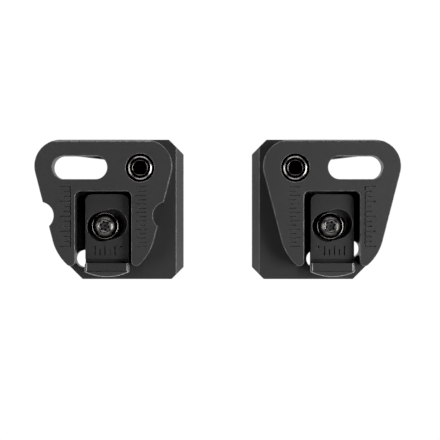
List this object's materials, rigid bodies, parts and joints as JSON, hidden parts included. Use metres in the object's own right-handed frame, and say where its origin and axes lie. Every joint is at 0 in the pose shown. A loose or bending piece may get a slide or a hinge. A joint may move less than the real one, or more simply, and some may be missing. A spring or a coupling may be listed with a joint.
{
  "type": "splitboard fork fitting pair",
  "caption": "Pair of flat two-prong fork fittings for a splitboard, each with a strap slot and a screw-clamped sliding adjuster block in its throat.",
  "frame": {"origin": "centre of the pair's footprint, on the plane both base plates lie on", "axes": "+X across the pair from the left unit to the right, +Y from the prong tips to the strap slots, +Z out of the faces"},
  "size_m": [0.1468, 0.0566, 0.0145],
  "materials": {
    "anodised_base": "black anodised, bead blasted",
    "anodised_fork": "black anodised, bead blasted",
    "anodised_block": "black anodised, bead blasted",
    "screw_steel": "dark nickel",
    "washer_black": "black oxide",
    "insert_steel": "satin"
  },
  "bodies": {
    "left_frame": {"left_base_plate": "anodised_base", "left_fork_plate": "anodised_fork", "left_cap_screw": "screw_steel", "left_cap_insert": "insert_steel", "left_dowel_pins": "insert_steel", "left_adjuster_insert": "insert_steel"},
    "left_adjuster": {"left_adjuster_block": "anodised_block", "left_guide_pins": "insert_steel"},
    "left_clamp": {"left_adjuster_screw": "screw_steel", "left_adjuster_washer": "washer_black"},
    "right_frame": {"right_base_plate": "anodised_base", "right_fork_plate": "anodised_fork", "right_cap_screw": "screw_steel", "right_cap_insert": "insert_steel", "right_dowel_pins": "insert_steel", "right_adjuster_insert": "insert_steel"},
    "right_adjuster": {"right_adjuster_block": "anodised_block", "right_guide_pins": "insert_steel"},
    "right_clamp": {"right_adjuster_screw": "screw_steel", "right_adjuster_washer": "washer_black"}
  },
  "joints": [
    {"name": "left_adjuster_slide", "type": "slide", "parent": "left_frame", "child": "left_adjuster", "axis": [0.9659, 0.2588, 0], "range_m": [-0.0028, 0.0011]},
    {"name": "left_screw_turn", "type": "hinge", "parent": "left_frame", "child": "left_clamp", "pos_m": [-0.0454, -0.0067, 0.0096], "axis": [0, 0, 1], "range_deg": [0, 180]},
    {"name": "unit_spacing", "type": "slide", "parent": "left_frame", "child": "right_frame", "axis": [1, 0, 0], "range_m": [-0.02, 0.06]},
    {"name": "right_adjuster_slide", "type": "slide", "parent": "right_frame", "child": "right_adjuster", "axis": [0.9659, 0.2588, 0], "range_m": [-0.0028, 0.0011]},
    {"name": "right_screw_turn", "type": "hinge", "parent": "right_frame", "child": "right_clamp", "pos_m": [0.0454, -0.0067, 0.0096], "axis": [0, 0, 1], "range_deg": [0, 180]}
  ]
}
